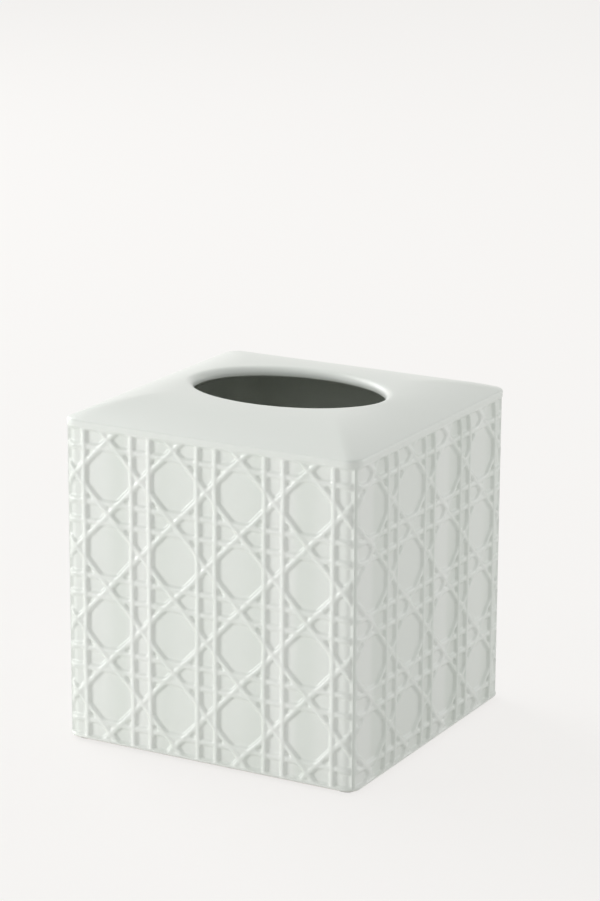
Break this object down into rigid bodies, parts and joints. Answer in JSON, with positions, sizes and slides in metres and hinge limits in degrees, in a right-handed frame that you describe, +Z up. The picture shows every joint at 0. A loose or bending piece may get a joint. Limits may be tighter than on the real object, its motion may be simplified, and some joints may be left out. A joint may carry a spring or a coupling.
{
  "type": "tissue box cover",
  "caption": "Square glazed porcelain tissue box cover: open base, raised cane webbing on its walls, softly crowned cap with an oval mouth.",
  "frame": {"origin": "middle of the base, on the surface that the bumpers stand on", "axes": "+Z up, front wall faces -Y, +X to the right of someone who faces the front wall; the oval mouth runs along X"},
  "size_m": [0.1328, 0.1328, 0.1417],
  "materials": {
    "porcelain": "clear gloss glaze over white porcelain",
    "clear_rubber": "clear soft polyurethane"
  },
  "bodies": {
    "root": {"porcelain_body": "porcelain", "bumper_front_left": "clear_rubber", "bumper_front_right": "clear_rubber", "bumper_back_left": "clear_rubber", "bumper_back_right": "clear_rubber"}
  },
  "joints": []
}
